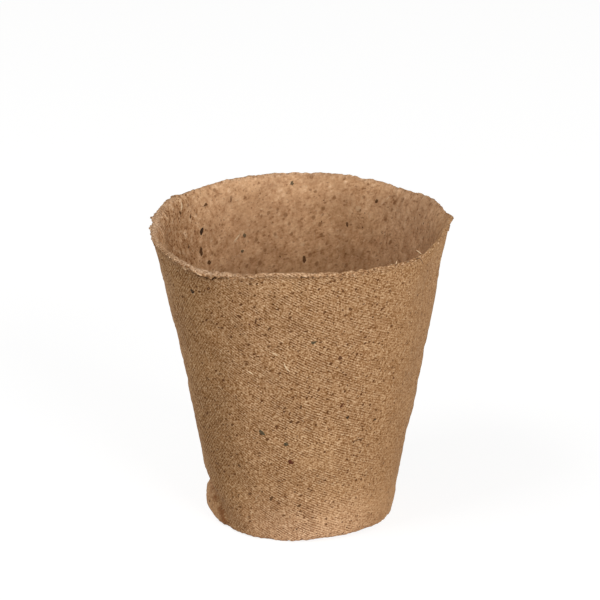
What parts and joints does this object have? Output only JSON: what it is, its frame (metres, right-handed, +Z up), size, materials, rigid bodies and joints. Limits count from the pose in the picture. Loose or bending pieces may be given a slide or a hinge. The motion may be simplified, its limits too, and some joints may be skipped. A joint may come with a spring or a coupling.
{
  "type": "peat pot",
  "caption": "Round tapered seedling pot moulded from peat and paper pulp, with a torn turned-out rim, wire-mesh print outside and a drain hole in the floor.",
  "frame": {"origin": "middle of the pot's bounding box in plan, on the ground under the foot", "axes": "+Z up along the pot's axis towards its open rim, -Y towards the side that the picture shows"},
  "size_m": [0.0794, 0.0772, 0.0825],
  "materials": {
    "pulp": "matt pressed fibre",
    "bark": "dull dark bark",
    "straw": "dull pale straw"
  },
  "bodies": {
    "root": {"pot_shell": "pulp", "bark_chips": "bark", "straw_fibres": "straw"}
  },
  "joints": []
}
